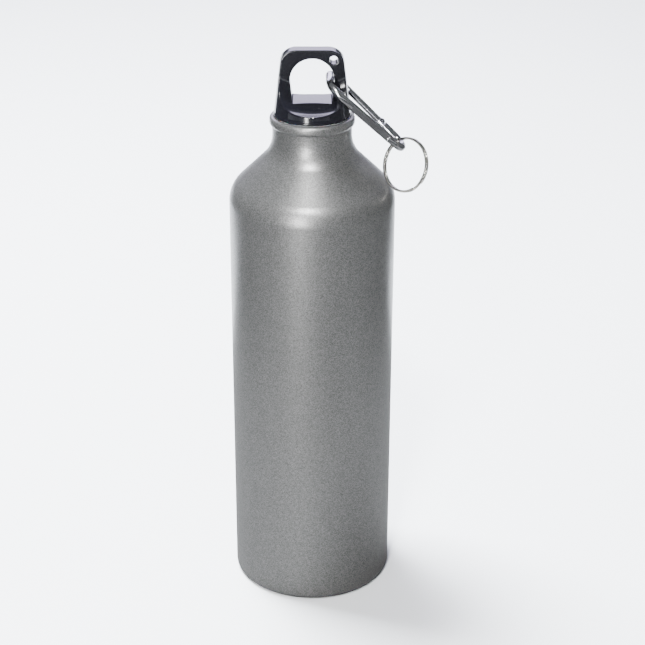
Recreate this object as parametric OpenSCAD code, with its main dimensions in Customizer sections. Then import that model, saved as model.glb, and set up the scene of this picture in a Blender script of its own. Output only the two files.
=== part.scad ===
// Aluminium sports bottle with a screw stopper, a clip and a key ring.
// Units are millimetres, +Z is up, and the origin is the centre of the ring that the bottle stands on.

/* [Bottle] */
// Outer radius of the body
body_r = 36.5; // [33:0.5:40]
// Height at which the straight wall ends and the shoulder begins
shoulder_z = 187; // [150:1:220]
// Thickness of the drawn aluminium wall
wall = 1; // [0.8:0.1:1.2]
// Radius of the rounded heel
heel_r = 2.5; // [2:0.5:4]
// Radius of the convex turn from the wall into the shoulder
shoulder_r = 12.8; // [10:0.1:16]
// Slope of the shoulder, in degrees from vertical
shoulder_slope = 45.3; // [40:0.1:50]
// Radius of the hollow turn from the shoulder into the neck
throat_r = 14.8; // [12:0.1:18]
// Outer radius of the neck
neck_r = 17.3; // [17:0.1:18]
// Outer radius of the rolled lip
lip_r = 18.5; // [18:0.1:19]

/* [Thread] */
// Rise of the thread in one turn
pitch = 4; // [3.6:0.1:4.4]
// Turns of thread on the stopper
thread_turns = 1.9; // [1:0.1:2]
// Radius of the stopper below the thread
plug_r = 13; // [12.5:0.1:13.2]

/* [Stopper] */
// Radius of the flange at the foot of the cap
flange_r = 16.8; // [16.5:0.1:17]
// Height of the loop above the lip
loop_h = 29.3; // [27:0.1:34]
// Thickness of the loop at its top
loop_t = 6.4; // [6:0.2:9]
// Radius of the finger hole
finger_r = 9.5; // [8.5:0.1:10]
// Diameter of the small lanyard hole
lanyard_d = 3.7; // [3:0.1:4]

/* [Clip] */
// Diameter of the clip's bar
bar_d = 3.6; // [3.4:0.1:3.8]
// Length of the clip along its centre line
clip_len = 44; // [42:0.5:48]
// Downward angle of the hanging clip
clip_angle = 44.5; // [42:0.5:46]

/* [Key ring] */
// Outer diameter of the key ring
ring_d = 24; // [23:0.5:25]
// Thickness of the ring's wire, across the ring
ring_wire = 1.05; // [0.9:0.05:1.2]

/* [Hidden] */
$fn = 96;

aluminium = "#8d8e90";
black = "#16171a";
steel = "#c9cbce";

// Points along an arc about c, from angle a0 to a1, in n equal steps
function arc(c, r, a0, a1, n) =
    [for (i = [0:n]) c + r * [cos(a0 + (a1 - a0) * i / n), sin(a0 + (a1 - a0) * i / n)]];
// The same on an ellipse with half axes rx and ry
function oval(c, rx, ry, a0, a1, n) =
    [for (i = [0:n]) c + [rx * cos(a0 + (a1 - a0) * i / n), ry * sin(a0 + (a1 - a0) * i / n)]];
function reversed(pts) = [for (i = [len(pts) - 1:-1:0]) pts[i]];

// ---- Bottle ----
shoulder_c = [body_r - shoulder_r, shoulder_z];
shoulder_end = shoulder_c + shoulder_r * [cos(shoulder_slope), sin(shoulder_slope)];
throat_cx = neck_r + throat_r;
throat_start_x = throat_cx - throat_r * cos(shoulder_slope);
throat_start_z = shoulder_end[1] + (shoulder_end[0] - throat_start_x) / tan(shoulder_slope);
throat_c = [throat_cx, throat_start_z + throat_r * sin(shoulder_slope)];
neck_in_r = neck_r - wall;
neck_z = throat_c[1];
lip_z = neck_z + 8.4;
lip_round = 1.6;
lip_under_z = lip_z - 4.1;

foot_in_r = body_r - heel_r - 1.8;
punt_r = foot_in_r - 5;
punt_z = 4;
punt_rise = 2.5;
floor_t = 1.2;

module bottle_outline() {
    outside = concat(
        [[0, punt_z + punt_rise]],
        [for (i = [4:-1:0]) [punt_r * (1 - i / 5), punt_z + punt_rise * (1 - pow(1 - i / 5, 2))]],
        [[punt_r, punt_z], [foot_in_r, 0]],
        arc([body_r - heel_r, heel_r], heel_r, -90, 0, 8),
        arc(shoulder_c, shoulder_r, 0, shoulder_slope, 12),
        arc(throat_c, throat_r, 180 + shoulder_slope, 180, 12),
        [[neck_r, lip_under_z]],
        oval([neck_r, lip_under_z + lip_round], lip_r - neck_r, lip_round, -90, 0, 8),
        oval([neck_in_r + 0.7, lip_z - lip_round], lip_r - neck_in_r - 0.7, lip_round, 0, 90, 8),
        arc([neck_in_r + 0.7, lip_z - 0.7], 0.7, 90, 180, 6)
    );
    inside = concat(
        arc(throat_c, throat_r + wall, 180, 180 + shoulder_slope, 12),
        arc(shoulder_c, shoulder_r - wall, shoulder_slope, 0, 12),
        arc([body_r - heel_r - wall, heel_r + floor_t], heel_r, 0, -90, 8),
        [[foot_in_r, floor_t], [punt_r, punt_z + floor_t], [0, punt_z + punt_rise + floor_t]]
    );
    polygon(concat(outside, inside));
}

module bottle_shell() {
    color(aluminium) rotate_extrude() bottle_outline();
}

// ---- Thread ----
ring_top_z = lip_z - 0.9;
ring_bottom_z = ring_top_z - 13;
ring_bore_r = plug_r + 2;
thread_h = 1.6;
thread_root = 0.5;
thread_foot_w = 1.8;
thread_tip_w = 1;
thread_steps = 24;
run_out = 0.12;

// One helical ridge of a trapezoid section, from its foot, buried in the wall, to its crest.
// The crest rises out of the wall over run_out turns at each end.
module thread_ridge(foot_r, crest_r, z0, turns) {
    n = ceil(turns * thread_steps);
    low_r = foot_r + (crest_r - foot_r) * 0.12;
    ramp = [for (i = [0:n]) min(1, min(i, n - i) / n * turns / run_out)];
    pts = [for (i = [0:n])
        let (
            a = 360 * turns * i / n,
            z = z0 + pitch * turns * i / n,
            crest = low_r + (crest_r - low_r) * ramp[i]
        )
        each [
            for (q = [
                [foot_r, -thread_foot_w],
                [crest, -thread_tip_w],
                [crest, thread_tip_w],
                [foot_r, thread_foot_w]
            ])
                [q[0] * cos(a), q[0] * sin(a), z + q[1] / 2]
        ]];
    outward = crest_r > foot_r;
    sides = [for (i = [0:n - 1], k = [0:3])
        let (a = 4 * i + k, b = 4 * i + (k + 1) % 4, c = b + 4, d = a + 4)
        each (outward ? [[a, b, c], [a, c, d]] : [[a, c, b], [a, d, c]])];
    first = [0, 1, 2, 3];
    last = [for (k = first) 4 * n + k];
    caps = outward ? [reversed(first), last] : [first, reversed(last)];
    polyhedron(points = pts, faces = concat(sides, caps), convexity = 6);
}

male_z = ring_top_z - 11;
female_z = male_z + pitch / 2;

module thread_ring() {
    color("#d7d8da") union() {
        difference() {
            translate([0, 0, ring_bottom_z])
                cylinder(h = ring_top_z - ring_bottom_z, r = neck_in_r - 0.05);
            translate([0, 0, ring_bottom_z - 1])
                cylinder(h = ring_top_z - ring_bottom_z + 2, r = ring_bore_r);
        }
        thread_ridge(ring_bore_r + thread_root, ring_bore_r - thread_h, female_z, thread_turns);
    }
}

// ---- Stopper ----
flange_z = lip_z + 0.2;
flange_h = 1.5;
cap_foot_z = flange_z + flange_h;
cap_top_z = lip_z + loop_h;
cap_foot_r = 16.45;
cap_top_r = 13.1;
corner_r = 7;
corner_x = cap_top_r + (cap_foot_r - cap_top_r) * corner_r / (cap_top_z - cap_foot_z) - corner_r;
scoop_edge_r = 10.5;
scoop_r = 38;
scoop_z = flange_z + 3.8;
finger_z = lip_z + 16.1;
finger_floor_z = lip_z + 7.1;
lanyard_x = 9.1;
lanyard_z = lip_z + 25;
socket_r = plug_r - 0.5;
socket_h = 3.2;

// The round-cornered front outline of the loop, drawn with its width along X and its height along Y
module loop_outline() {
    translate([-flange_r - 1, 0])
        square([2 * flange_r + 2, cap_top_z - corner_r]);
    translate([-corner_x, 0])
        square([2 * corner_x, cap_top_z]);
    for (side = [-1, 1])
        translate([side * corner_x, cap_top_z - corner_r])
            circle(r = corner_r);
}

// A round-edged coin that hollows one face of the cap and leaves the thin loop above it
module scoop() {
    translate([0, 0, scoop_z + scoop_r])
        rotate([90, 0, 0])
            rotate_extrude() {
                translate([0, loop_t / 2])
                    square([scoop_r - scoop_edge_r, 30]);
                translate([0, loop_t / 2 + scoop_edge_r])
                    square([scoop_r, 20]);
                intersection() {
                    translate([scoop_r - scoop_edge_r, loop_t / 2 + scoop_edge_r])
                        circle(r = scoop_edge_r);
                    translate([scoop_r - scoop_edge_r, loop_t / 2])
                        square([scoop_edge_r, scoop_edge_r]);
                }
            }
}

module finger_hole() {
    floor_half = 8.4;
    rotate([90, 0, 0])
        linear_extrude(height = 50, center = true)
            union() {
                translate([0, finger_z])
                    circle(r = finger_r);
                polygon([
                    [-floor_half, finger_floor_z], [floor_half, finger_floor_z],
                    [finger_r * 0.966, finger_z - finger_r * 0.259],
                    [-finger_r * 0.966, finger_z - finger_r * 0.259]
                ]);
            }
}

module cap_shell() {
    color(black) difference() {
        union() {
            translate([0, 0, flange_z])
                cylinder(h = 0.9, r = flange_r);
            translate([0, 0, flange_z + 0.9])
                cylinder(h = flange_h - 0.9, r1 = flange_r, r2 = cap_foot_r);
            intersection() {
                translate([0, 0, cap_foot_z])
                    cylinder(h = cap_top_z - cap_foot_z, r1 = cap_foot_r, r2 = cap_top_r);
                rotate([90, 0, 0])
                    linear_extrude(height = 50, center = true)
                        loop_outline();
            }
        }
        scoop();
        mirror([0, 1, 0]) scoop();
        finger_hole();
        translate([lanyard_x, 0, lanyard_z])
            rotate([90, 0, 0])
                cylinder(h = 40, d = lanyard_d, center = true);
        translate([0, 0, flange_z - 1])
            cylinder(h = socket_h + 1, r = socket_r);
    }
}

plug_bottom_z = ring_top_z - 12.4;
plug_in_r = plug_r - 1.7;

module cap_plug() {
    color("#1d1e21") union() {
        difference() {
            union() {
                translate([0, 0, plug_bottom_z + 0.8])
                    cylinder(h = flange_z - plug_bottom_z - 0.8, r = plug_r);
                translate([0, 0, plug_bottom_z])
                    cylinder(h = 0.8, r1 = plug_r - 0.8, r2 = plug_r);
                translate([0, 0, flange_z])
                    cylinder(h = socket_h - 0.1, r = socket_r - 0.02);
            }
            translate([0, 0, plug_bottom_z - 1])
                cylinder(h = flange_z - plug_bottom_z + 1, r = plug_in_r);
        }
        thread_ridge(plug_r - thread_root, plug_r + thread_h, male_z, thread_turns);
    }
}

module gasket() {
    low = ring_top_z + 0.05;
    high = flange_z - 0.05;
    inner = plug_r + 0.15;
    outer = neck_in_r - 0.3;
    soft = 0.3;
    color("#c9ccd0") rotate_extrude()
        polygon([
            [inner, low], [outer - soft, low], [outer, low + soft],
            [outer, high - soft], [outer - soft, high], [inner, high]
        ]);
}

// ---- Clip ----
// The clip is drawn flat: its length is along X from the wide end, its width along Y and its
// thickness along Z. The gate is on the +Y side and the spine on the -Y side.
bar_r = bar_d / 2;
clip_at = [7.55, 0, lip_z + 15.7];
far_r = 6;
near_r = 6.5;
tip_r = 5.2;
far_c = [far_r, 4.8];
near_c = [near_r, -3.45];
tip_c = [clip_len - tip_r, 2.1];

// Angle of the line that touches two circles, a and b, measured to the touching points
function side_turn(a, ra, b, rb, side) =
    atan2((b - a)[1], (b - a)[0]) + side * acos((ra - rb) / norm(b - a));
function spoke(c, r, turn) = c + r * [cos(turn), sin(turn)];

spine_turn = side_turn(near_c, near_r, tip_c, tip_r, -1);
spine_from = spoke(near_c, near_r, spine_turn);
spine_to = spoke(tip_c, tip_r, spine_turn);
gate_turn = side_turn(far_c, far_r, tip_c, tip_r, 1);
gate_from = spoke(far_c, far_r, gate_turn);
gate_to = spoke(tip_c, tip_r, gate_turn);
gate_span = norm(gate_to - gate_from);

gate_r = 1.45;
gate_start = -0.3;
nose_bend = 10;
catch_x = 3;
catch_r = 0.5;
catch_room = 0.15;
rivet_x = 24.8;
rivet_r = 0.65;
rivet_fit = 0.05;
tab_t = 1.2;
tab_reach = 1.4;
slot_t = 1.5;
slot_floor_x = rivet_x - 2;
shoulder_gap = 0.35;
spring_bore_r = 0.8;
spring_from_x = rivet_x - 12.5;
flat_depth = 0.3;
flat_from = 0.16;
flat_to = 0.85;

module clip_pose() {
    translate(clip_at)
        rotate([0, clip_angle, 0])
            children();
}

// The gate's own frame: X runs along the gate from the wide end, and Z is the rivet's direction
module gate_pose() {
    clip_pose()
        translate([gate_from[0], gate_from[1], 0])
            rotate([0, 0, gate_turn - 90])
                children();
}

// A straight length of bar along X. It is a hair thinner than the bends and runs a little into them.
module bar(length) {
    lap = 0.3;
    translate([-lap, 0, 0])
        rotate([0, 90, 0])
            cylinder(h = length + 2 * lap, r = bar_r - 0.02);
}

module bend(c, r, a0, a1) {
    translate([c[0], c[1], 0])
        rotate([0, 0, a0])
            rotate_extrude(angle = a1 - a0)
                translate([r, 0])
                    circle(r = bar_r, $fn = 48);
}

// A flat ear cut from the bar between two places along X
module ear(x0, x1, half_width, thick) {
    intersection() {
        translate([x0, -half_width, -thick / 2])
            cube([x1 - x0, 2 * half_width, thick]);
        translate([x0 - 1, 0, 0])
            rotate([0, 90, 0])
                cylinder(h = x1 - x0 + 2, r = bar_r - 0.1);
    }
}

module clip_frame_flat() {
    spine_len = norm(spine_to - spine_from);
    arm_x = rivet_x + gate_r + shoulder_gap;
    difference() {
        union() {
            translate([0, near_c[1], 0])
                rotate([0, 0, 90])
                    bar(far_c[1] - near_c[1]);
            bend(near_c, near_r, 180, 360 + spine_turn);
            translate([spine_from[0], spine_from[1], 0])
                rotate([0, 0, spine_turn + 90])
                    bar(spine_len);
            bend(tip_c, tip_r, spine_turn, gate_turn);
            bend(far_c, far_r, gate_turn + nose_bend, 180);
            translate([gate_from[0], gate_from[1], 0])
                rotate([0, 0, gate_turn - 90]) {
                    translate([arm_x + 0.3, 0, 0])
                        bar(gate_span - arm_x - 0.3);
                    ear(rivet_x - tab_reach, arm_x + 1, tab_reach, tab_t);
                    ear(-2, catch_x + 1.4, 1.3, tab_t);
                }
        }
        translate([gate_from[0], gate_from[1], 0])
            rotate([0, 0, gate_turn - 90]) {
                translate([rivet_x, 0, 0])
                    cylinder(h = 10, r = rivet_r, center = true);
                // Notch that lets the catch pin in from the inner side
                translate([catch_x, 0, 0])
                    cylinder(h = 10, r = catch_r + catch_room, center = true);
                translate([catch_x - catch_r - catch_room, -3, -5])
                    cube([2 * (catch_r + catch_room), 3, 10]);
            }
        // Flat pressed into the outer side of the spine
        translate([spine_from[0], spine_from[1], 0])
            rotate([0, 0, spine_turn + 90])
                translate([spine_len * flat_from, -bar_r - 2 + flat_depth, -5])
                    cube([spine_len * (flat_to - flat_from), 2, 10]);
    }
}

module clip_frame() {
    color(steel) clip_pose() clip_frame_flat();
}

module clip_gate() {
    color(steel) gate_pose() difference() {
        intersection() {
            translate([gate_start, 0, 0])
                rotate([0, 90, 0])
                    cylinder(h = 40, r = gate_r);
            union() {
                translate([-5, -5, -5])
                    cube([rivet_x + 5, 10, 10]);
                translate([rivet_x, 0, 0])
                    cylinder(h = 10, r = gate_r - 0.01, center = true);
            }
        }
        translate([slot_floor_x, -5, -slot_t / 2])
            cube([10, 10, slot_t]);
        translate([-5, -5, -slot_t / 2])
            cube([catch_x + 7, 10, slot_t]);
        translate([rivet_x, 0, 0])
            cylinder(h = 10, r = rivet_r + rivet_fit, center = true);
        translate([catch_x, 0, 0])
            cylinder(h = 10, r = catch_r, center = true);
        translate([spring_from_x, 0, 0])
            rotate([0, 90, 0])
                cylinder(h = slot_floor_x - spring_from_x + 1, r = spring_bore_r);
    }
}

module gate_rivet() {
    head_r = 1.25;
    head_h = 0.55;
    head_gap = 0.05;
    dome_r = (pow(head_r, 2) + pow(head_h, 2)) / (2 * head_h);
    color(steel) gate_pose() translate([rivet_x, 0, 0]) {
        cylinder(h = 2 * (gate_r + head_gap), r = rivet_r, center = true);
        for (side = [0, 1])
            mirror([0, 0, side])
                translate([0, 0, gate_r + head_gap])
                    intersection() {
                        translate([0, 0, head_h - dome_r])
                            sphere(r = dome_r);
                        cylinder(h = 2, r = 5);
                    }
    }
}

module gate_catch_pin() {
    color(steel) gate_pose()
        translate([catch_x, 0, 0])
            cylinder(h = 2 * gate_r - 0.3, r = catch_r, center = true);
}

plunger_r = 0.7;
plunger_tip_x = rivet_x - tab_reach - 0.05;
plunger_len = 2.6;
spring_wire_r = 0.12;
spring_mean_r = 0.55;
spring_turns = 12;

module gate_plunger() {
    color(steel) gate_pose()
        translate([plunger_tip_x - plunger_len, 0, 0])
            rotate([0, 90, 0])
                cylinder(h = plunger_len, r = plunger_r);
}

module gate_spring() {
    end_gap = 0.05;
    start = spring_from_x + spring_wire_r + end_gap;
    length = plunger_tip_x - plunger_len - start - spring_wire_r - end_gap;
    n = spring_turns * 12;
    sides = 6;
    pts = [for (i = [0:n])
        let (a = 360 * spring_turns * i / n, x = length * i / n)
        each [for (k = [0:sides - 1])
            let (r = spring_mean_r + spring_wire_r * cos(60 * k))
            [x + spring_wire_r * sin(60 * k), r * cos(a), r * sin(a)]]];
    faces = [for (i = [0:n - 1], k = [0:sides - 1])
        let (a = sides * i + k, b = sides * i + (k + 1) % sides)
        each [[a, a + sides, b + sides], [a, b + sides, b]]];
    first = [for (k = [0:sides - 1]) k];
    last = [for (k = [0:sides - 1]) sides * n + k];
    color(steel) gate_pose()
        translate([start, 0, 0])
            polyhedron(points = pts, faces = concat(faces, [first, reversed(last)]), convexity = 6);
}

// ---- Key ring ----
ring_axial = 0.8;
ring_gap = 0.06;
ring_turns = 1.94;
ring_steps = 72;
jog = 0.12;
hang_turn = -46;
ring_lean = 19;
ring_tip = 13;
ring_in_r = ring_d / 2 - ring_wire;
hang_reach = ring_in_r - bar_r - 0.35;

// Rise of the wire from the lower coil to the upper one, at t turns along it
function coil_rise(t) =
    let (s = max(0, min(1, (t - ring_turns / 2 + jog / 2) / jog)))
    (ring_axial + ring_gap) * (s * s * (3 - 2 * s) - 0.5);

// The ring lies in its own XY plane, with the clip's bar passing through the origin along Z
module split_ring_flat() {
    n = ceil(ring_turns * ring_steps);
    mid_r = ring_d / 2 - ring_wire / 2;
    half = [ring_wire / 2, ring_axial / 2];
    section = [[-half[0], -half[1]], [half[0], -half[1]], [half[0], half[1]], [-half[0], half[1]]];
    pts = [for (i = [0:n])
        let (t = ring_turns * i / n, a = 360 * t, z = coil_rise(t))
        each [for (q = section) [(mid_r + q[0]) * cos(a), (mid_r + q[0]) * sin(a), z + q[1]]]];
    sides = [for (i = [0:n - 1], k = [0:3])
        let (a = 4 * i + k, b = 4 * i + (k + 1) % 4)
        each [[a, b, b + 4], [a, b + 4, a + 4]]];
    translate([hang_reach, 0, 0])
        polyhedron(
            points = pts,
            faces = concat(sides, [[3, 2, 1, 0], [4 * n, 4 * n + 1, 4 * n + 2, 4 * n + 3]]),
            convexity = 6
        );
}

module split_ring() {
    hang = spoke(tip_c, tip_r, hang_turn);
    color(steel) clip_pose()
        translate([hang[0], hang[1], 0])
            rotate([0, 0, hang_turn])
                rotate([ring_tip - 90, 0, 0])
                    rotate([0, 0, ring_lean])
                        split_ring_flat();
}

bottle_shell();
thread_ring();
gasket();
cap_shell();
cap_plug();
clip_frame();
clip_gate();
gate_rivet();
gate_catch_pin();
gate_spring();
gate_plunger();
split_ring();
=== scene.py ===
import math

import bpy
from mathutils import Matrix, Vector


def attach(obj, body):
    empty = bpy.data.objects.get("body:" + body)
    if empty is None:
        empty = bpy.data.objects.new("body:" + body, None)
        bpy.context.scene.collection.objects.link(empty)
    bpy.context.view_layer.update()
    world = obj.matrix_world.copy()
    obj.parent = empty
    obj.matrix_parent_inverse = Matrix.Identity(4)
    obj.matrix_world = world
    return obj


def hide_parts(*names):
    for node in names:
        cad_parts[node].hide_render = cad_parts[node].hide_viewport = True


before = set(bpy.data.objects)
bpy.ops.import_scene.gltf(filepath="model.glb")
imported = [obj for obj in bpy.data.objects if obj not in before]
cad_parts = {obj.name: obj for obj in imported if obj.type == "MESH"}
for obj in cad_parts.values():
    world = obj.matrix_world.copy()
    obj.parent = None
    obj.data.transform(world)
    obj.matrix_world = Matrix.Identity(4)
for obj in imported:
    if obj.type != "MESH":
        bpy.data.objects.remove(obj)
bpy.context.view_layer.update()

MM = 0.001
FACE_ON = math.radians(90)  # stands a flat piece or a rod's axis across the front view

# ---------------------------------------------------------------- sizes, in millimetres
# Bottle: the body's wall, the shoulder's bend, its straight slope and the hollow under the neck
BODY_R = 36.5
WALL = 1.0
SHOULDER_C, SHOULDER_R = (23.7, 187.0), 12.8
SLOPE = math.radians(45.3)
THROAT_R = 14.8
NECK_R = 17.3
LIP_Z = 225.917
LIP_R = 18.5
LIP_ROUND = 1.6
NECK_Z = LIP_Z - 8.4

# Stopper: its flange, its tapered body and the loop left between two round hollows
FLANGE_Z = LIP_Z + 0.2
FLANGE_R = 16.8
CAP_FOOT_Z, CAP_FOOT_R = FLANGE_Z + 1.5, 16.45
CAP_TOP_Z, CAP_TOP_R = LIP_Z + 29.3, 13.1
CORNER_R = 7.0
LOOP_T = 6.4
SCOOP_R, SCOOP_EDGE_R = 38.0, 10.5
HOLE_R, HOLE_Z = 9.5, LIP_Z + 16.1
HOLE_FLOOR_Z, HOLE_FLOOR_HALF = LIP_Z + 7.1, 8.4
HOLE_FLANK_Z, HOLE_FLANK_SLOPE = LIP_Z + 13.64, 8.4
LANYARD_R, LANYARD_AT = 1.85, (9.1, 0, LIP_Z + 25)
SOCKET_R = 12.5

# Clip: bent wire drawn flat, with its three bends' centres and radii, then hung by the loop's limb
BAR_R = 1.8
CLIP_LEN = 44.0
FAR_C, FAR_R = Vector((6.0, 4.8)), 6.0
NEAR_C, NEAR_R = Vector((6.5, -3.45)), 6.5
TIP_C, TIP_R = Vector((CLIP_LEN - 5.2, 2.1)), 5.2
CLIP_TURN = math.radians(44.5)
CLIP_AT = (7.55, 0.0, LIP_Z + 15.7)

# Gate: lengths run along it from its nose
GATE_R = 1.45
CATCH_X = 3.0
RIVET_X = 24.8

# Key ring, and how it hangs in the clip's tip
RING_R = 12
RING_WIRE, RING_AXIAL = 1.05, 0.8
RING_SLACK = 0.35
RING_HANG = math.radians(-46)
RING_LEAN = math.radians(19)
RING_TIP = math.radians(13)


# ---------------------------------------------------------------- node materials
def linear(hex_colour):
    """An sRGB hex colour as linear RGBA."""
    out = []
    for k in (1, 3, 5):
        c = int(hex_colour[k : k + 2], 16) / 255
        out.append(c / 12.92 if c <= 0.04045 else ((c + 0.055) / 1.055) ** 2.4)
    return (*out, 1.0)


def add(tree, kind, attrs=None, values=None, links=None):
    """Adds a node, with its attributes, socket values and incoming links."""
    n = tree.nodes.new(kind)
    for k, v in (attrs or {}).items():
        setattr(n, k, v)
    for k, v in (values or {}).items():
        n.inputs[k].default_value = v
    for k, v in (links or {}).items():
        tree.links.new(v, n.inputs[k])
    return n


def new_material(name):
    """A node material: its tree, the object coordinates and the shader, ready for finish_surface."""
    m = bpy.data.materials.new(name)
    m.use_nodes = True
    t = m.node_tree
    t.nodes.clear()
    where = add(t, "ShaderNodeTexCoord").outputs["Object"]
    shader = add(t, "ShaderNodeBsdfPrincipled")
    out = add(t, "ShaderNodeOutputMaterial")
    t.links.new(shader.outputs["BSDF"], out.inputs["Surface"])
    return m, t, where, shader


def finish_surface(t, where, shader, colours, rough, grain, height, wear=0.02, blend=None):
    """Colour, roughness and bump from a fine grain and a broad, faint unevenness.
    colours are two hex colours, mixed by blend or else by the unevenness. rough is (low, high),
    grain and wear are spots per millimetre, and height is in millimetres."""
    grain_size = {"Scale": grain / MM, "Detail": 2.0, "Roughness": 0.5}
    wear_size = {"Scale": wear / MM, "Detail": 4.0, "Roughness": 0.6}
    fine = add(t, "ShaderNodeTexNoise", None, grain_size, {"Vector": where}).outputs["Fac"]
    broad = add(t, "ShaderNodeTexNoise", None, wear_size, {"Vector": where}).outputs["Fac"]
    # Noise keeps mostly between these two values, so they are stretched to the full range
    middle = {"From Min": 0.3, "From Max": 0.7}
    uneven = add(t, "ShaderNodeMapRange", None, middle, {"Value": broad}).outputs["Result"]
    ends = {6: linear(colours[0]), 7: linear(colours[1])}
    mixed = add(t, "ShaderNodeMix", {"data_type": "RGBA"}, ends, {0: blend or uneven})
    t.links.new(mixed.outputs[2], shader.inputs["Base Color"])
    half_broad = add(t, "ShaderNodeMath", {"operation": "MULTIPLY"}, {1: 0.5}, {0: broad}).outputs[0]
    both = add(t, "ShaderNodeMath", {"operation": "MULTIPLY_ADD"}, {1: 0.5}, {0: fine, 2: half_broad})
    rough_range = {**middle, "To Min": rough[0], "To Max": rough[1]}
    sheen = add(t, "ShaderNodeMapRange", None, rough_range, {"Value": both.outputs[0]})
    t.links.new(sheen.outputs["Result"], shader.inputs["Roughness"])
    bump = add(t, "ShaderNodeBump", values={"Strength": 0.6, "Distance": height * MM}, links={"Height": fine})
    t.links.new(bump.outputs["Normal"], shader.inputs["Normal"])
    return bump


# Drawn aluminium, bead-blasted and lacquered in a metallic grey, with a fine sparkle painted into its colour as
# lighter flake cells (painted glints)
def blasted_aluminium():
    m, t, where, shader = new_material("aluminium_blasted_and_lacquered")
    shader.inputs["Metallic"].default_value = 0.85
    # Real flakes are under 0.1 mm across. They are drawn at about 0.26 mm, or they wouldn't show
    flakes_per_mm = 3.8
    cells = add(t, "ShaderNodeTexVoronoi", {"feature": "F1"}, {"Scale": flakes_per_mm / MM}, {"Vector": where})
    flake = add(t, "ShaderNodeSeparateColor", links={"Color": cells.outputs["Color"]}).outputs["Red"]
    # Painted sparkle: each flake cell gets its own shade between the darker and the lighter grey, and the lighter
    # cells stand in for glints off the flakes
    painted_sparkle = add(t, "ShaderNodeMapRange", None, {"From Min": 0.1, "From Max": 0.9}, {"Value": flake}).outputs["Result"]
    finish_surface(t, where, shader, ("#676766", "#8f8f8e"), (0.36, 0.42), 3.4, 0.006, blend=painted_sparkle)
    shader.inputs["Coat Weight"].default_value = 0.12
    shader.inputs["Coat Roughness"].default_value = 0.25
    return m


# Aluminium ring turned on a lathe and left bare, with fine rings round its axis
def turned_aluminium():
    m, t, where, shader = new_material("aluminium_turned_bare")
    shader.inputs["Metallic"].default_value = 1.0
    bump = finish_surface(t, where, shader, ("#c9cacc", "#d2d3d4"), (0.24, 0.34), 8.0, 0.002)
    bands = {"wave_type": "BANDS", "bands_direction": "Z"}
    rings = add(t, "ShaderNodeTexWave", bands, {"Scale": 2.5 / MM, "Distortion": 0.4}, {"Vector": where})
    t.links.new(rings.outputs["Fac"], bump.inputs["Height"])
    return m


# Pale silicone seal, moulded with a dull skin
def moulded_silicone():
    m, t, where, shader = new_material("silicone_moulded_dull")
    shader.inputs["IOR"].default_value = 1.41
    shader.inputs["Subsurface Weight"].default_value = 0.1
    shader.inputs["Subsurface Scale"].default_value = 0.5 * MM
    finish_surface(t, where, shader, ("#c2c4c6", "#cdcfd0"), (0.5, 0.62), 6.0, 0.01)
    return m


# Black plastic moulded in a polished tool, with a faint ripple and hairline rubs from handling
def polished_mould_plastic():
    m, t, where, shader = new_material("plastic_black_polished_mould")
    shader.inputs["IOR"].default_value = 1.53
    bump = finish_surface(t, where, shader, ("#0d0d11", "#111116"), (0.09, 0.17), 1.5, 0.003, 0.08)
    ripple_size = {"Scale": 0.12 / MM, "Detail": 2.0, "Roughness": 0.5}
    ripple = add(t, "ShaderNodeTexNoise", None, ripple_size, {"Vector": where}).outputs["Fac"]
    over_grain = {"Height": ripple, "Normal": bump.outputs["Normal"]}
    wave = add(t, "ShaderNodeBump", None, {"Strength": 0.5, "Distance": 0.05 * MM}, over_grain)
    t.links.new(wave.outputs["Normal"], shader.inputs["Normal"])
    return m


# Black plastic of the threaded plug, moulded in a spark-eroded tool
def matte_mould_plastic():
    m, t, where, shader = new_material("plastic_black_matte_mould")
    shader.inputs["IOR"].default_value = 1.49
    finish_surface(t, where, shader, ("#141417", "#19191c"), (0.42, 0.55), 5.0, 0.02)
    return m


# Steel wire, drawn, bent and barrel-polished to a near mirror with small handling marks
def polished_steel():
    m, t, where, shader = new_material("steel_wire_barrel_polished")
    shader.inputs["Metallic"].default_value = 1.0
    finish_surface(t, where, shader, ("#c6c7ca", "#d2d2d4"), (0.12, 0.22), 7.0, 0.003, 0.3)
    return m


# Hard-drawn spring steel, bright but unpolished
def drawn_spring_steel():
    m, t, where, shader = new_material("spring_steel_drawn_bright")
    shader.inputs["Metallic"].default_value = 1.0
    finish_surface(t, where, shader, ("#9d9ea0", "#aaabad"), (0.28, 0.38), 9.0, 0.002, 0.3)
    return m


# Flat spring-steel wire of the key ring, nickel plated over rolling marks
def plated_flat_wire():
    m, t, where, shader = new_material("flat_wire_nickel_plated")
    shader.inputs["Metallic"].default_value = 1.0
    finish_surface(t, where, shader, ("#b9b6b0", "#c8c6c2"), (0.16, 0.27), 6.0, 0.004, 0.25)
    return m


# Matt white paper sweep of a photo studio
def studio_paper():
    m, t, where, shader = new_material("paper_sweep_matt")
    finish_surface(t, where, shader, ("#eceef0", "#edeff1"), (0.8, 0.9), 1.5, 0.01, 0.001)
    shader.inputs["Specular IOR Level"].default_value = 0.2
    return m


# Grey felt of the cards that stand round the set for the bottle to reflect
def grey_card(colours):
    m, t, where, shader = new_material("card_grey_felt")
    finish_surface(t, where, shader, colours, (0.9, 1.0), 2.0, 0.02)
    return m


# ---------------------------------------------------------------- modelling helpers
def settle(obj):
    """Makes obj the only selected and active object, in object mode."""
    if bpy.context.object and bpy.context.object.mode != "OBJECT":
        bpy.ops.object.mode_set(mode="OBJECT")
    bpy.ops.object.select_all(action="DESELECT")
    obj.select_set(True)
    bpy.context.view_layer.objects.active = obj


def edit(obj):
    """Puts obj in edit mode with all of its mesh selected."""
    settle(obj)
    bpy.ops.object.mode_set(mode="EDIT")
    bpy.ops.mesh.select_all(action="SELECT")


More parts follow.
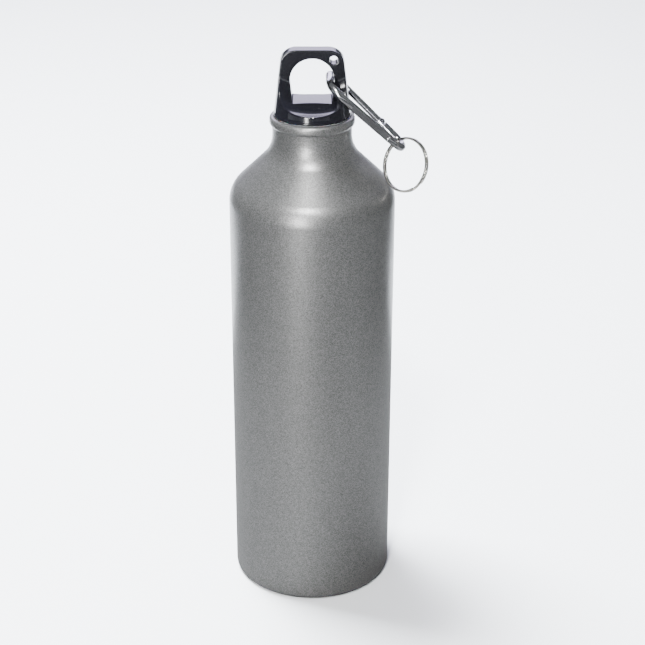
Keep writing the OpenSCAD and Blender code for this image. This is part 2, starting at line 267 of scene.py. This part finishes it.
def named(name):
    """Names the piece just added, and its mesh."""
    obj = bpy.context.object
    obj.name = name
    obj.data.name = name
    return obj


def apply_place(obj):
    settle(obj)
    bpy.ops.object.transform_apply(location=True, rotation=True, scale=True)


def modify(obj, kind, **settings):
    """Adds a modifier and applies it."""
    settle(obj)
    mod = obj.modifiers.new(kind.lower(), kind)
    for k, v in settings.items():
        setattr(mod, k, v)
    bpy.ops.object.modifier_apply(modifier=mod.name)


def cut(obj, tool, how="DIFFERENCE"):
    """Cuts obj with a tool, or joins or crosses them, and throws the tool away."""
    modify(obj, "BOOLEAN", object=tool, operation=how, solver="EXACT")
    bpy.data.objects.remove(tool, do_unlink=True)


def close_ends(obj):
    """Caps the open ends of a drawn-out section and turns its faces outward."""
    edit(obj)
    bpy.ops.mesh.fill_holes(sides=0)
    bpy.ops.mesh.select_all(action="SELECT")
    bpy.ops.mesh.normals_make_consistent(inside=False)
    bpy.ops.object.mode_set(mode="OBJECT")


def smooth(obj, angle=35):
    settle(obj)
    bpy.ops.object.shade_smooth_by_angle(angle=math.radians(angle))


def arc(c, r, a0, a1, n):
    """Points of an arc about c, from a0 to a1 degrees in n steps."""
    turns = [math.radians(a0 + (a1 - a0) * i / n) for i in range(n + 1)]
    return [(c[0] + r * math.cos(a), c[1] + r * math.sin(a)) for a in turns]


def oval(c, rx, ry, a0, a1, n):
    """The same for an arc of an ellipse."""
    return [(c[0] + rx * (x - c[0]), c[1] + ry * (z - c[1])) for x, z in arc(c, 1, a0, a1, n)]


def lathe(name, profile, sides=144):
    """A closed turned piece: the first ring is drawn out and up through the profile's radii and heights."""
    r, z = profile[0]
    bpy.ops.mesh.primitive_circle_add(vertices=sides, radius=r * MM, location=(0, 0, z * MM))
    obj = named(name)
    apply_place(obj)
    edit(obj)
    for r1, z1 in profile[1:]:
        bpy.ops.mesh.extrude_region_move(TRANSFORM_OT_translate={"value": (0, 0, (z1 - z) * MM)})
        bpy.ops.transform.resize(value=(r1 / r, r1 / r, 1), center_override=(0, 0, z1 * MM))
        r, z = r1, z1
    close_ends(obj)
    return obj


def box(size, at):
    """A block of a size in millimetres, centred on a point."""
    bpy.ops.mesh.primitive_cube_add(size=1, location=[v * MM for v in at])
    obj = bpy.context.object
    obj.scale = [v * MM for v in size]
    apply_place(obj)
    return obj


def rod(r, length, at, turn=(0, 0, 0), sides=64):
    """A cylinder, upright unless turned, centred on a point."""
    bpy.ops.mesh.primitive_cylinder_add(
        vertices=sides, radius=r * MM, depth=length * MM, location=[v * MM for v in at], rotation=turn
    )
    obj = bpy.context.object
    apply_place(obj)
    return obj


def place(obj, at, turn):
    """Turns a piece about the origin, moves it, and applies both."""
    obj.location = [v * MM for v in at]
    obj.rotation_euler = turn
    apply_place(obj)


# ---------------------------------------------------------------- bottle
def build_bottle():
    """Turned from the middle of the domed base, up the outside, over the lip and down the inside."""
    slope = math.degrees(SLOPE)
    neck_in = NECK_R - WALL
    under = LIP_Z - 4.1
    lip_edge_r = 0.7
    foot_r = 2.5
    throat_c = (NECK_R + THROAT_R, NECK_Z)
    profile = [(0.6, 6.5), (6, 6.4), (12, 6.1), (18, 5.4), (23, 4.55), (26.6, 4.05)]
    profile += [(28.4, 3.4), (30.5, 1.4), (31.6, 0.4), (32.6, 0.04)]
    profile += arc((BODY_R - foot_r, foot_r), foot_r, -90, 0, 12)
    profile += [(BODY_R, z) for z in (12, 40, 80, 120, 150, 175)]
    profile += arc(SHOULDER_C, SHOULDER_R, 0, slope, 24)
    profile += arc(throat_c, THROAT_R, 180 + slope, 180, 24)
    profile += [(NECK_R, under - 0.5), (NECK_R + 0.06, under - 0.1)]
    profile += oval((NECK_R, under + LIP_ROUND), LIP_R - NECK_R, LIP_ROUND, -75, 0, 12)
    roll_x = neck_in + lip_edge_r
    profile += oval((roll_x, LIP_Z - LIP_ROUND), LIP_R - roll_x, LIP_ROUND, 0, 90, 16)
    profile += arc((roll_x, LIP_Z - lip_edge_r), lip_edge_r, 90, 180, 10)[1:]
    profile += [(neck_in, under)]
    profile += arc(throat_c, THROAT_R + WALL, 180, 180 + slope, 16)
    profile += arc(SHOULDER_C, SHOULDER_R - WALL, slope, 0, 16)
    profile += [(BODY_R - WALL, z) for z in (150, 100, 50)]
    profile += arc((BODY_R - WALL - foot_r, 3.7), foot_r, 0, -90, 8)
    profile += [(30.5, 2.8), (27.2, 5.2), (20, 6.6), (10, 7.5), (0.6, 7.7)]
    obj = lathe("bottle_body", profile)
    smooth(obj, 30)
    return obj


# ---------------------------------------------------------------- stopper
def coin(side):
    """The round-edged coin that hollows one face of the stopper."""
    face = LOOP_T / 2
    flat_r = SCOOP_R - SCOOP_EDGE_R
    profile = [(0.5, face), (12, face), (flat_r, face)]
    profile += arc((flat_r, face + SCOOP_EDGE_R), SCOOP_EDGE_R, -90, 0, 28)[1:]
    profile += [(SCOOP_R, 40), (0.5, 40)]
    obj = lathe("coin", profile, 250)
    # A small turn keeps its facets off the cone's
    place(obj, (0.002, 0, 0), (0, 0, 0.0071))
    place(obj, (0, 0, FLANGE_Z + 3.8 + SCOOP_R), (-side * FACE_ON, 0, 0))
    return obj


def build_cap():
    height = CAP_TOP_Z - CAP_FOOT_Z
    bpy.ops.mesh.primitive_cone_add(
        vertices=256,
        radius1=CAP_FOOT_R * MM,
        radius2=CAP_TOP_R * MM,
        depth=height * MM,
        location=(0, 0, (CAP_FOOT_Z + height / 2) * MM),
    )
    obj = named("cap_body")
    apply_place(obj)
    # Loop outline: a block whose two top edges are rounded across the cap
    half = CAP_TOP_R + (CAP_FOOT_R - CAP_TOP_R) * CORNER_R / height
    block = box((2 * half, 50, height + 20), (0, 0, CAP_TOP_Z - (height + 20) / 2))
    edit(block)
    bpy.ops.mesh.select_all(action="DESELECT")
    bpy.ops.object.mode_set(mode="OBJECT")
    for e in block.data.edges:
        a, b = (block.data.vertices[i].co for i in e.vertices)
        e.select = abs(a.x - b.x) < 1e-6 and abs(a.z - b.z) < 1e-6 and a.z > CAP_FOOT_Z * MM
    bpy.ops.object.mode_set(mode="EDIT")
    bpy.ops.mesh.bevel(offset=CORNER_R * MM, segments=32, affect="EDGES")
    bpy.ops.object.mode_set(mode="OBJECT")
    # Below the corners the block is wider than the cone
    skirt = box((40, 60, 40), (0, 0, CAP_TOP_Z - CORNER_R - 20))
    cut(block, skirt, "UNION")
    cut(obj, block, "INTERSECT")
    cut(obj, coin(-1))
    cut(obj, coin(1))
    # Finger hole: a round rod whose lower side is pressed down to a flat floor and splayed flanks
    hole = rod(HOLE_R, 60, (0, 0, HOLE_Z), (FACE_ON, 0, 0), 144)
    for v in hole.data.vertices:
        past_floor = max(0, abs(v.co.x) / MM - HOLE_FLOOR_HALF)
        if v.co.z < HOLE_FLANK_Z * MM:
            v.co.z = (HOLE_FLOOR_Z + past_floor * HOLE_FLANK_SLOPE) * MM
    cut(obj, hole)
    cut(obj, rod(LANYARD_R, 60, LANYARD_AT, (FACE_ON, 0, 0), 64))
    # Flange at the foot, and the socket that the plug stands in
    rim = ((0.6, 0), (FLANGE_R - 0.3, 0), (FLANGE_R, 0.25), (FLANGE_R, 0.9), (FLANGE_R - 0.4, 1.6), (0.6, 1.6))
    cut(obj, lathe("flange", [(r, FLANGE_Z + z) for r, z in rim], 256), "UNION")
    cut(obj, rod(SOCKET_R, 4.2, (0, 0, FLANGE_Z + 1.1), sides=128))
    # Every edge is softened, as a moulded part's are
    modify(obj, "REMESH", mode="VOXEL", voxel_size=0.24 * MM, use_smooth_shade=True)
    modify(obj, "SMOOTH", factor=0.5, iterations=9)
    settle(obj)
    bpy.ops.object.shade_smooth()
    return obj


# ---------------------------------------------------------------- clip
def side_turn(a, ra, b, rb, side):
    """Angle of the line that touches two circles, measured to the touching points."""
    d = b - a
    return math.atan2(d.y, d.x) + side * math.acos((ra - rb) / d.length)


def spoke(c, r, turn):
    """The point of a circle at an angle."""
    return c + Vector((r * math.cos(turn), r * math.sin(turn)))


SPINE_TURN = side_turn(NEAR_C, NEAR_R, TIP_C, TIP_R, -1)
GATE_TURN = side_turn(FAR_C, FAR_R, TIP_C, TIP_R, 1)
GATE_FROM = spoke(FAR_C, FAR_R, GATE_TURN)
GATE_SPAN = (spoke(TIP_C, TIP_R, GATE_TURN) - GATE_FROM).length
GATE_LEAN = GATE_TURN - math.pi / 2


def to_gate(obj):
    """From the gate's own frame to the clip's flat frame."""
    place(obj, (GATE_FROM.x, GATE_FROM.y, 0), (0, 0, GATE_LEAN))


def to_clip(obj):
    """From the clip's flat frame to where it hangs."""
    place(obj, CLIP_AT, (0, CLIP_TURN, 0))


def run(direction, length):
    """Draws the wire on in a straight line."""
    step = (math.cos(direction) * length * MM, math.sin(direction) * length * MM, 0)
    bpy.ops.mesh.extrude_region_move(TRANSFORM_OT_translate={"value": step})


def turn_about(c, angle):
    """Bends the wire on about c. Blender's spin turns clockwise, hence the minus sign."""
    steps = max(4, round(math.degrees(angle) / 5))
    bpy.ops.mesh.spin(steps=steps, angle=-angle, center=(c.x * MM, c.y * MM, 0), axis=(0, 0, 1), dupli=False)


def build_clip_wire():
    nose = GATE_TURN + math.radians(10)
    start = spoke(FAR_C, FAR_R, nose)
    spine_len = (spoke(TIP_C, TIP_R, SPINE_TURN) - spoke(NEAR_C, NEAR_R, SPINE_TURN)).length
    arm_x = RIVET_X + GATE_R + 0.35
    bpy.ops.mesh.primitive_circle_add(
        vertices=48,
        radius=(BAR_R - 0.01) * MM,
        location=(start.x * MM, start.y * MM, 0),
        rotation=(0, math.pi / 2, nose + math.pi / 2),
    )
    obj = named("clip_wire")
    apply_place(obj)
    edit(obj)
    turn_about(FAR_C, math.pi - nose)
    run(-math.pi / 2, FAR_C.y - NEAR_C.y)
    turn_about(NEAR_C, math.pi + SPINE_TURN)
    run(SPINE_TURN + math.pi / 2, spine_len)
    turn_about(TIP_C, GATE_TURN - SPINE_TURN)
    run(GATE_TURN + math.pi / 2, GATE_SPAN - arm_x)
    close_ends(obj)
    # Flat pressed into the outer side of the spine, with a slightly eased end
    flat_len = spine_len * 0.69
    flat_depth = 0.45
    press = box((flat_len, 4, 6), (spine_len * 0.16 + flat_len / 2, -BAR_R - 2 + flat_depth, 0))
    modify(press, "BEVEL", width=0.12 * MM, segments=3)
    foot = spoke(NEAR_C, NEAR_R, SPINE_TURN)
    place(press, (foot.x, foot.y, 0), (0, 0, SPINE_TURN + math.pi / 2))
    cut(obj, press)
    # Ears for the rivet and for the gate's catch
    for x0, x1, half in ((RIVET_X - 1.4, arm_x + 1, 1.4), (-2.0, CATCH_X + 1.4, 1.3)):
        ear = box((x1 - x0, 2 * half, 1.2), ((x0 + x1) / 2, 0, 0))
        modify(ear, "BEVEL", width=0.15 * MM, segments=3)
        to_gate(ear)
        cut(obj, ear, "UNION")
    hole = rod(0.65, 6, (RIVET_X, 0, 0))
    to_gate(hole)
    cut(obj, hole)
    catch = rod(0.65, 6, (CATCH_X, 0, 0))
    slot = box((1.3, 3, 6), (CATCH_X, -1.5, 0))
    cut(catch, slot, "UNION")
    to_gate(catch)
    cut(obj, catch)
    to_clip(obj)
    modify(obj, "BEVEL", width=0.1 * MM, segments=2, limit_method="ANGLE", angle_limit=math.radians(50))
    smooth(obj, 40)
    return obj


def build_gate_bar():
    length = RIVET_X + 0.3
    obj = rod(GATE_R - 0.01, length, (length / 2 - 0.3, 0, 0), (0, math.pi / 2, 0), 48)
    named("gate_bar")
    eye = rod(GATE_R - 0.02, 2 * GATE_R, (RIVET_X, 0, 0), sides=48)
    tube = rod(GATE_R - 0.01, 6, (RIVET_X, 0, 0), (0, math.pi / 2, 0), 48)
    cut(eye, tube, "INTERSECT")
    cut(obj, eye, "UNION")
    for x0, x1 in ((RIVET_X - 2, RIVET_X + 6), (-5.0, CATCH_X + 2)):
        cut(obj, box((x1 - x0, 8, 1.5), ((x0 + x1) / 2, 0, 0)))
    cut(obj, rod(0.7, 8, (RIVET_X, 0, 0)))
    cut(obj, rod(0.5, 8, (CATCH_X, 0, 0)))
    bore_len = 11.5
    cut(obj, rod(0.8, bore_len, (RIVET_X - 12.5 + bore_len / 2, 0, 0), (0, math.pi / 2, 0), 48))
    modify(obj, "BEVEL", width=0.1 * MM, segments=2, limit_method="ANGLE", angle_limit=math.radians(50))
    to_gate(obj)
    to_clip(obj)
    smooth(obj, 40)
    return obj


# ---------------------------------------------------------------- key ring
def build_key_ring():
    gap, turns, steps_a_turn, jog = 0.06, 1.94, 90, 0.12
    mid = RING_R - RING_WIRE / 2
    n = round(turns * steps_a_turn)

    def rise(t):
        """Height of the wire after t turns: one coil, an eased step over the jog, then the other coil."""
        s = max(0.0, min(1.0, (t - turns / 2 + jog / 2) / jog))
        return (RING_AXIAL + gap) * (s * s * (3 - 2 * s) - 0.5)

    # The wire's section: a flat rectangle with rounded corners, standing across the ring
    bpy.ops.mesh.primitive_plane_add(size=1, location=(mid * MM, 0, rise(0) * MM), rotation=(FACE_ON, 0, 0))
    obj = named("key_ring")
    obj.scale = (RING_WIRE * MM, RING_AXIAL * MM, 1)
    apply_place(obj)
    edit(obj)
    bpy.ops.mesh.bevel(offset=0.2 * MM, segments=3, affect="VERTICES")
    bpy.ops.mesh.delete(type="ONLY_FACE")
    bpy.ops.mesh.select_all(action="SELECT")
    for i in range(n):
        dz = rise((i + 1) / n * turns) - rise(i / n * turns)
        bpy.ops.mesh.extrude_region_move(TRANSFORM_OT_translate={"value": (0, 0, dz * MM)})
        bpy.ops.transform.rotate(value=-2 * math.pi * turns / n, orient_axis="Z", center_override=(0, 0, 0))
    close_ends(obj)
    # Hung from the clip's wire: its inner edge is a little off the wire, then it leans, tips and turns
    reach = RING_R - RING_WIRE - BAR_R - RING_SLACK
    place(obj, (reach, 0, 0), (0, 0, 0))
    place(obj, (0, 0, 0), (0, 0, RING_LEAN))
    place(obj, (0, 0, 0), (RING_TIP - FACE_ON, 0, 0))
    held = spoke(TIP_C, TIP_R, RING_HANG)
    place(obj, (held.x, held.y, 0), (0, 0, RING_HANG))
    to_clip(obj)
    smooth(obj, 40)
    return obj


# ---------------------------------------------------------------- the object
FINISH = {
    "bottle_aluminium": blasted_aluminium(),
    "thread_ring_aluminium": turned_aluminium(),
    "gasket_silicone": moulded_silicone(),
    "cap_gloss_plastic": polished_mould_plastic(),
    "plug_plastic": matte_mould_plastic(),
    "clip_steel": polished_steel(),
    "spring_steel": drawn_spring_steel(),
    "ring_steel": plated_flat_wire(),
}


def dress(obj, slot):
    """Gives a piece its material and its slot."""
    obj.data.materials.clear()
    obj.data.materials.append(FINISH[slot])


def fit(obj, body, slot, *nodes):
    """Puts a piece on a body in place of CAD nodes."""
    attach(obj, body)
    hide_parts(*nodes)
    dress(obj, slot)


fit(build_bottle(), "bottle", "bottle_aluminium", "bottle_shell")
fit(build_cap(), "cap", "cap_gloss_plastic", "cap_shell")
fit(build_clip_wire(), "clip", "clip_steel", "clip_frame")
fit(build_gate_bar(), "gate", "clip_steel", "clip_gate")
fit(build_key_ring(), "split_ring", "ring_steel", "split_ring")

for node, slot in (
    ("thread_ring", "thread_ring_aluminium"),
    ("gasket", "gasket_silicone"),
    ("cap_plug", "plug_plastic"),
    ("gate_rivet", "clip_steel"),
    ("gate_catch_pin", "clip_steel"),
    ("gate_spring", "spring_steel"),
    ("gate_plunger", "spring_steel"),
):
    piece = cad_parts[node]
    smooth(piece)
    dress(piece, slot)


# ---------------------------------------------------------------- floor, light and camera
bpy.ops.mesh.primitive_plane_add(size=8, location=(0, 1.5, -0.0002))
floor = named("studio_floor")
floor.data.materials.append(studio_paper())


def card(name, at, turn, size, colours=("#262626", "#2b2b2b")):
    """A grey card that shows only in reflections, so that the metal has something darker than paper in it."""
    bpy.ops.mesh.primitive_plane_add(size=1, location=at, rotation=turn)
    obj = named(name)
    obj.scale = (size[0], size[1], 1)
    obj.data.materials.append(grey_card(colours))
    obj.visible_camera = False
    obj.visible_diffuse = False
    obj.visible_shadow = False


def softbox(name, at, target, size, power, colour="#ffffff", shine=True):
    """A rectangular light aimed at a point. Without shine it lights the scene but isn't seen in reflections."""
    data = bpy.data.lights.new(name, "AREA")
    data.shape = "RECTANGLE"
    data.size, data.size_y = size
    data.energy = power
    data.color = linear(colour)[:3]
    lamp = bpy.data.objects.new(name, data)
    bpy.context.scene.collection.objects.link(lamp)
    lamp.location = at
    lamp.rotation_euler = (Vector(target) - Vector(at)).to_track_quat("-Z", "Y").to_euler()
    lamp.visible_glossy = shine


card("card_below", (0, -0.42, 0.0006), (0, 0, 0), (2.4, 1.3))
card("card_near", (0, 0.02, 0.0012), (0, 0, 0), (0.5, 0.42), ("#585858", "#5e5e5e"))
card("card_right", (0.3, 0.05, 0.2), (0, math.radians(90), math.radians(10)), (0.6, 0.7))
card("card_left", (-0.32, 0.15, 0.22), (0, math.radians(90), math.radians(-10)), (0.4, 0.5))
softbox("key_light", (-0.3, -1.0, 0.25), (0, 0, 0.12), (0.12, 0.8), 17)
softbox("top_light", (-0.35, 0.35, 1.35), (0, 0.2, 0.0), (0.5, 0.5), 140, "#f7fbff", shine=False)
softbox("spot_light", (-0.12, -0.75, 1.1), (0, 0, 0.2), (0.1, 0.1), 22)
softbox("back_light", (0.0, 1.7, 1.0), (0, 0.3, 0.0), (2.2, 0.9), 34, "#d6d0ee")

world = bpy.data.worlds.new("studio")
bpy.context.scene.world = world
world.use_nodes = True
world.node_tree.nodes["Background"].inputs["Color"].default_value = linear("#dfe3e8")
world.node_tree.nodes["Background"].inputs["Strength"].default_value = 0.2

cam_data = bpy.data.cameras.new("camera")
cam_data.sensor_width = 36
cam_data.lens = 94.9
cam_data.shift_x = 0.016
cam_data.clip_start = 0.05
cam = bpy.data.objects.new("camera", cam_data)
bpy.context.scene.collection.objects.link(cam)
cam.location = (0, -0.6991, 0.4611)
cam.rotation_euler = (math.radians(90 - 25.57), 0, 0)
bpy.context.scene.camera = cam
